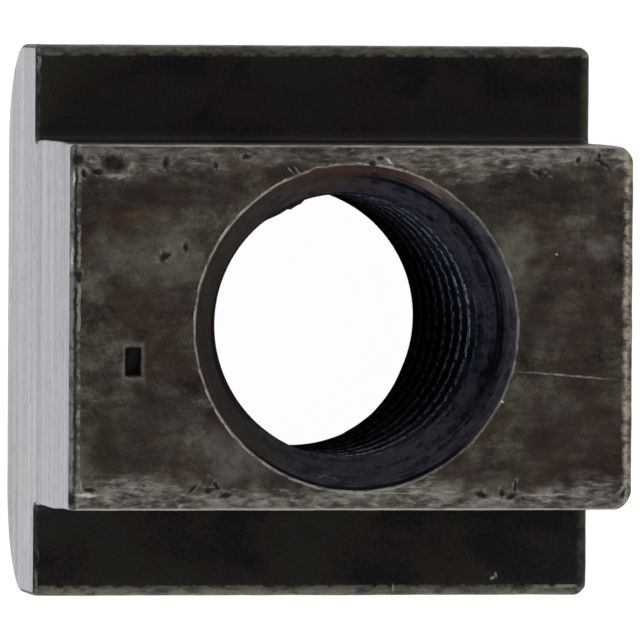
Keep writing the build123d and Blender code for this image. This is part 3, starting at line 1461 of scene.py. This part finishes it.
@dataclass(frozen=True)
class BoreFinish:
    """Oily black oxide in the bore: blue black thread, purple grey and brown countersink; painted highlights
    and shade.
    """

    black: str = "090a10"
    blue: str = "141925"
    # painted highlight on the thread's crests
    crest: str = "949ca8"
    smoke: str = "2a2a31"
    dark: str = "201f23"
    grey: str = "3a393e"
    olive: str = "332d26"
    brown: str = "3a281f"
    # pale of the countersink's painted sheen
    rubbed: str = "60544f"
    # painted highlight on the rounded rim of the mouth
    rim: str = "8a867e"

    def grooves(self, tree: Tree, sizes: NutSizes) -> Socket:
        """The oily blue black of the thread, smoky towards the mouth and greyer at the front.

        Args:
            tree: The material's nodes.
            sizes: Sizes of the nut.

        Returns:
            The colour.
        """
        colour = tree.colours(tree.noise(0.9, 4.0, 0.6, 0.6, shift=2.0), (0.4, self.black), (0.6, self.blue))
        high = tree.step(tree.z, sizes.height - 5.5, sizes.height - 1.4)
        haze, lines = tree.noise(0.38, 4.0, 0.7, 0.5, shift=33.0), tree.turned(sizes, 0.12, 4.0)
        hazy = tree.step(tree.blend((haze, 0.65), (lines, 0.35)), 0.4, 0.6, 0.05, 1.0)
        colour = tree.mix(tree.all_of(high, hazy), colour, self.smoke)
        front = tree.step(tree.y, -4.2, -2.8, 0.7, 0.0)
        colour = tree.mix(tree.all_of(high, front, tree.step(hazy, 0.0, 1.0, 0.4, 1.0)), colour, self.grey)
        colour = tree.mix(tree.all_of(tree.step(tree.y, 0.5, 3.0, 0.0, 0.35), hazy), colour, self.smoke)
        colour = tree.mix(tree.step(tree.x, 1.0, -1.5, 0.0, 0.8), colour, self.dark)
        return tree.mix(tree.all_of(tree.step(tree.y, -3.4, -2.0, 0.85, 0.0), hazy), colour, self.grey)

    def thread(self, tree: Tree, sizes: NutSizes, radius: Socket) -> Socket:
        """The thread: dark grooves, and crests with broken, bluish painted highlights which fade towards the
        mouth.

        Next to the grooves' floors a painted shadow makes it black, except at the front, which hems it at the
        countersink.

        Args:
            tree: The material's nodes.
            sizes: Sizes of the nut.
            radius: Distance from the bore's axis.

        Returns:
            The colour.
        """
        colour = self.grooves(tree, sizes)
        broken = tree.step(tree.noise(0.18, 4.0, 0.75, 0.3, shift=27.0), 0.45, 0.6, 0.0, 1.0)
        # Painted highlight: broken bluish lines on the crests, fading towards the mouth, deeper down, at the
        # back and on the cut end's side.
        crest = tree.step(radius, sizes.crest_radius + 0.005, sizes.crest_radius + 0.035, 1.0, 0.0)
        faint = tree.step(tree.z, sizes.height - 3.4, sizes.height - 1.6, 1.0, 0.12)
        deep = tree.step(tree.z, 0.0, sizes.height - 4.0, 0.5, 1.0)
        crest_highlight_fade = tree.all_of(faint, deep, tree.step(tree.y, 0.5, 3.5, 1.0, 0.35), tree.step(tree.x, -1.0, 1.0))
        colour = tree.mix(tree.all_of(crest, broken, crest_highlight_fade), colour, self.crest)
        # Painted shadow: black deep in each groove, under the overhanging flank, weak at the front.
        groove_shade = tree.stripe(radius, sizes.floor_radius - 0.21, 0.08)
        return tree.mix(tree.all_of(groove_shade, tree.step(tree.y, -3.0, -1.0, 0.1, 0.95)), colour, self.black)

    def seat(self, tree: Tree, sizes: NutSizes) -> Socket:
        """The countersink: dark grey, olive brown on the cut end's side and rusty at the back.

        A patch of the rust carries a painted sheen. At the front are a black painted shadow inside the mouth
        and two pale strokes of painted sheen.

        Args:
            tree: The material's nodes.
            sizes: Sizes of the nut.

        Returns:
            The colour.
        """
        broad, grain = tree.noise(0.9, 4.0, 0.6, 0.6, shift=23.0), tree.noise(0.16, 3.0, 0.6)
        clouds = tree.blend((broad, 0.5), (tree.turned(sizes, 0.08), 0.3), (grain, 0.2))
        colour = tree.colours(clouds, (0.42, self.dark), (0.57, self.grey))
        mottled = tree.step(clouds, 0.38, 0.6, 0.55, 0.95)
        colour = tree.mix(tree.all_of(tree.step(tree.x, -1.0, -3.5), mottled), colour, self.olive)
        rusty = tree.step(clouds, 0.4, 0.58, 0.3, 1.0)
        colour = tree.mix(tree.all_of(tree.step(tree.y, 3.7, 4.9), rusty), colour, self.brown)
        # Painted sheen: a pale patch on the rusty back of the countersink.
        sheen = Mark((2.75, 4.25, sizes.height), (1.1, 0.3, 0.6), turn=-33, shade=None)
        share = tree.step(tree.nearest([sheen], tree.strayed(0.3, 0.06)), 0.0, 1.2, 0.75, 0.0)
        colour = tree.mix(tree.all_of(share, rusty), colour, self.rubbed)
        # Painted shadow: a black line just inside the mouth at the front, under the rim's edge.
        within = tree.stripe(tree.radius(sizes), sizes.mouth_radius - 0.06, 0.07)
        colour = tree.mix(tree.all_of(within, tree.step(tree.y, -4.4, -3.2, 0.85, 0.0)), colour, self.black)
        # Painted sheen: two pale strokes at the front of the countersink.
        strokes = [
            Mark((-0.85, -4.72, sizes.height), (0.26, 0.05, 0.6), turn=12, shade=None),
            Mark((-0.45, -4.82, sizes.height), (0.2, 0.045, 0.6), turn=-28, shade=None),
        ]
        share = tree.step(tree.nearest(strokes, tree.strayed(0.2, 0.03)), 0.2, 1.1, 0.7, 0.0)
        return tree.mix(share, colour, self.rubbed)

    def on_seat(self, tree: Tree, sizes: NutSizes, radius: Socket) -> Socket:
        """Where the countersink's colour shows: the cone and, on the cut end's side, all above its foot.

        Args:
            tree: The material's nodes.
            sizes: Sizes of the nut.
            radius: Distance from the bore's axis.

        Returns:
            One where it shows, and nothing elsewhere.
        """
        slope = (sizes.mouth_radius - sizes.crest_radius) / sizes.cone_depth
        cone = tree.sum("MULTIPLY_ADD", tree.z, slope, sizes.mouth_radius - slope * sizes.height)
        outer = tree.step(radius, sizes.floor_radius - 0.08, sizes.floor_radius - 0.04)
        seat = tree.all_of(outer, tree.step(tree.sum("SUBTRACT", radius, cone), 0.03, 0.08, 1.0, 0.0))
        foot = sizes.height - sizes.cone_depth
        shaded = tree.all_of(tree.step(tree.x, 1.5, -1.0), tree.step(tree.z, foot - 0.3, foot))
        return tree.sum("MAXIMUM", seat, shaded)

    def build(self, sizes: NutSizes) -> bpy.types.Material:
        """Makes the material.

        Args:
            sizes: Sizes of the nut.

        Returns:
            The material.
        """
        tree = Tree("oiled_oxide")
        radius = tree.radius(sizes)
        thread, seat = self.thread(tree, sizes, radius), self.seat(tree, sizes)
        colour = tree.mix(self.on_seat(tree, sizes, radius), thread, seat)
        # Painted highlight: a light band on the mouth's rounded rim, broken by noise and fainter on the
        # right.
        worn = tree.step(tree.noise(0.6, 2.0, 0.6, shift=43.0), 0.36, 0.58, 0.3, 0.9)
        faint = tree.step(tree.x, 0.5, 3.5, 1.0, 0.4)
        rim_highlight = tree.step(tree.z, sizes.height - 0.04, sizes.height - 0.02)
        colour = tree.mix(tree.all_of(rim_highlight, worn, faint), colour, self.rim)
        grain = tree.noise(0.1, 3.0, 0.6)
        rough = tree.step(grain, 0.3, 0.7, 0.5, 0.7)
        return tree.finish(colour, rough, grain, bump=0.01, metal=0.0, gloss=0.0)


# --- The piece --------------------------------------------------------------------------------------


@dataclass
class TSlotNut:
    """The nut as one dressed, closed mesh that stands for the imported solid."""

    sizes: NutSizes = field(default_factory=NutSizes)
    sharp_angle: float = 32.0

    def mesh(self) -> bpy.types.Mesh:
        """Makes the worn mesh with its finishes, sharp where two triangles meet at a steep angle.

        Returns:
            The mesh.
        """
        points, triangles, finishes = NutSkin(self.sizes).build()
        points = Wear(self.sizes).apply(points, triangles, finishes)
        mesh = bpy.data.meshes.new("nut_body")
        mesh.vertices.add(len(points))
        mesh.vertices.foreach_set("co", (points * MM).astype(np.float32).ravel())
        mesh.loops.add(3 * len(triangles))
        mesh.loops.foreach_set("vertex_index", triangles.astype(np.int32).ravel())
        mesh.polygons.add(len(triangles))
        mesh.polygons.foreach_set("loop_start", np.arange(0, 3 * len(triangles), 3, dtype=np.int32))
        for material in self.materials():
            mesh.materials.append(material)
        mesh.update(calc_edges=True)
        mesh.polygons.foreach_set("material_index", finishes.astype(np.int32))
        mesh.polygons.foreach_set("use_smooth", np.ones(len(triangles), dtype=bool))
        mesh.set_sharp_from_angle(angle=math.radians(self.sharp_angle))
        mesh.validate()
        return mesh

    def materials(self) -> list[bpy.types.Material]:
        """The finishes' materials, in the order of the mesh's slots.

        Returns:
            The materials.
        """
        made = {
            Finish.NECK: NeckFinish(),
            Finish.FLANGE: FlangeFinish(),
            Finish.CUT_END: CutEndFinish(),
            Finish.BORE: BoreFinish(),
        }
        return [made[finish].build(self.sizes) for finish in Finish]

    def build(self) -> bpy.types.Object:
        """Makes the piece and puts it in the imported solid's place.

        Returns:
            The new object.
        """
        piece = bpy.data.objects.new("nut_body", self.mesh())
        bpy.context.scene.collection.objects.link(piece)
        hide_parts(NODE)
        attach(piece, "root")
        return piece


# --- Studio -----------------------------------------------------------------------------------------


@dataclass
class Viewpoint:
    """Where the camera stands: almost straight above the nut, leaning towards its cut end.

    The leans and the roll are in degrees, the distance and the aim in millimetres from the middle of the
    neck's top, and the clips in metres.
    """

    lean_forward: float = 1.6
    lean_aside: float = 9.52
    roll: float = -0.34
    distance: float = 411.6
    aim_x: float = 1.036
    aim_y: float = -0.253
    lens: float = 731.0
    sensor: float = 36.0
    near_clip: float = 0.01
    far_clip: float = 20.0

    def place(self) -> bpy.types.Object:
        """Makes the camera and sets it in the scene.

        Returns:
            The camera.
        """
        turn = (
            Matrix.Rotation(math.radians(self.roll), 3, "Z")
            @ Matrix.Rotation(math.radians(self.lean_forward), 3, "X")
            @ Matrix.Rotation(math.radians(self.lean_aside), 3, "Y")
        ).transposed()
        aim = Vector((0, 0, NutSizes().height))
        camera = bpy.data.objects.new("camera", bpy.data.cameras.new("camera"))
        camera.data.lens = self.lens
        camera.data.sensor_width = self.sensor
        camera.data.clip_start = self.near_clip
        camera.data.clip_end = self.far_clip
        place = (aim + turn @ Vector((-self.aim_x, -self.aim_y, self.distance))) * MM
        camera.matrix_world = Matrix.Translation(place) @ turn.to_4x4()
        bpy.context.scene.collection.objects.link(camera)
        bpy.context.scene.camera = camera
        return camera


@dataclass
class Studio:
    """Pale floor, soft lamps and a world that is bright all round and dimmer overhead."""

    floor_half: float = 900.0
    floor_grey: float = 0.8
    seen_white: float = 0.97
    seen_shade: float = 0.14
    sky_low: float = 0.95
    sky_high: float = 0.35
    dims_from: float = 0.25
    dims_to: float = 0.95
    lamp_size: float = 260.0

    def grey(self, tree: Tree, level: float) -> Socket:
        """A plain matt grey surface."""
        return tree.node("ShaderNodeBsdfDiffuse", (level, level, level, 1)).outputs[0]

    def floor(self) -> bpy.types.Object:
        """Makes the floor, which is white to the eye and in reflections, and keeps a faint shadow.

        Returns:
            The floor.
        """
        half = self.floor_half * MM
        mesh = bpy.data.meshes.new("floor")
        corners = [(-half, -half, 0), (half, -half, 0), (half, half, 0), (-half, half, 0)]
        mesh.from_pydata(corners, [], [(0, 1, 2, 3)])
        tree = Tree("floor")
        path = tree.node("ShaderNodeLightPath").outputs
        seen = tree.sum("MAXIMUM", path["Is Camera Ray"], path["Is Glossy Ray"])
        seen = tree.sum("MAXIMUM", seen, path["Is Transmission Ray"])
        glow = tree.node("ShaderNodeEmission", (1, 1, 1, 1), self.seen_white).outputs[0]
        white = tree.node("ShaderNodeAddShader", glow, self.grey(tree, self.seen_shade)).outputs[0]
        plain = self.grey(tree, self.floor_grey)
        shown = tree.node("ShaderNodeMixShader", seen, plain, white).outputs[0]
        tree.node("ShaderNodeOutputMaterial", shown)
        mesh.materials.append(tree.material)
        floor = bpy.data.objects.new("floor", mesh)
        bpy.context.scene.collection.objects.link(floor)
        return floor

    def world(self) -> None:
        """Makes the world: white to the eye, and otherwise a soft light that is dimmer overhead."""
        world = bpy.data.worlds.new("studio")
        bpy.context.scene.world = world
        world.use_nodes = True
        nodes, links = world.node_tree.nodes, world.node_tree.links
        nodes.clear()
        direction = nodes.new("ShaderNodeTexCoord")
        parts = nodes.new("ShaderNodeSeparateXYZ")
        height = nodes.new("ShaderNodeMapRange")
        height.interpolation_type = "SMOOTHSTEP"
        for place, value in enumerate((self.dims_from, self.dims_to, self.sky_low, self.sky_high), start=1):
            height.inputs[place].default_value = value
        path = nodes.new("ShaderNodeLightPath")
        strength = nodes.new("ShaderNodeMix")
        strength.inputs[3].default_value = 1.0
        sky = nodes.new("ShaderNodeBackground")
        out = nodes.new("ShaderNodeOutputWorld")
        links.new(direction.outputs["Generated"], parts.inputs[0])
        links.new(parts.outputs[2], height.inputs[0])
        links.new(path.outputs["Is Camera Ray"], strength.inputs[0])
        links.new(height.outputs[0], strength.inputs[2])
        links.new(strength.outputs[0], sky.inputs["Strength"])
        links.new(sky.outputs[0], out.inputs["Surface"])

    def lamp(self, name: str, place: tuple[float, float, float], power: float) -> None:
        """Makes a square soft lamp that faces the nut.

        Args:
            name: Name of the lamp.
            place: Where it hangs, in millimetres.
            power: Its power in watts.
        """
        data = bpy.data.lights.new(name, "AREA")
        data.size = self.lamp_size * MM
        data.energy = power
        lamp = bpy.data.objects.new(name, data)
        lamp.location = Vector(place) * MM
        lamp.rotation_euler = Vector(place).to_track_quat("Z", "Y").to_euler()
        bpy.context.scene.collection.objects.link(lamp)

    def build(self) -> None:
        """Makes the floor, the world and the lamps."""
        self.floor()
        self.world()
        self.lamp("key", (-150.0, -320.0, 300.0), 1.6)
        self.lamp("fill", (280.0, 260.0, 320.0), 0.9)
        bpy.context.scene.view_settings.view_transform = "Standard"


def main() -> None:
    """Builds the scene piece by piece and reports each one."""
    logging.basicConfig(level=logging.INFO, format="%(name)s: %(message)s")
    camera = Viewpoint().place()
    log.info("camera at %s", tuple(round(value, 4) for value in camera.location))
    nut = TSlotNut().build()
    log.info("%s has %d triangles", nut.name, len(nut.data.polygons))
    Studio().build()
    log.info("studio is lit")


if __name__ == "__main__":
    main()
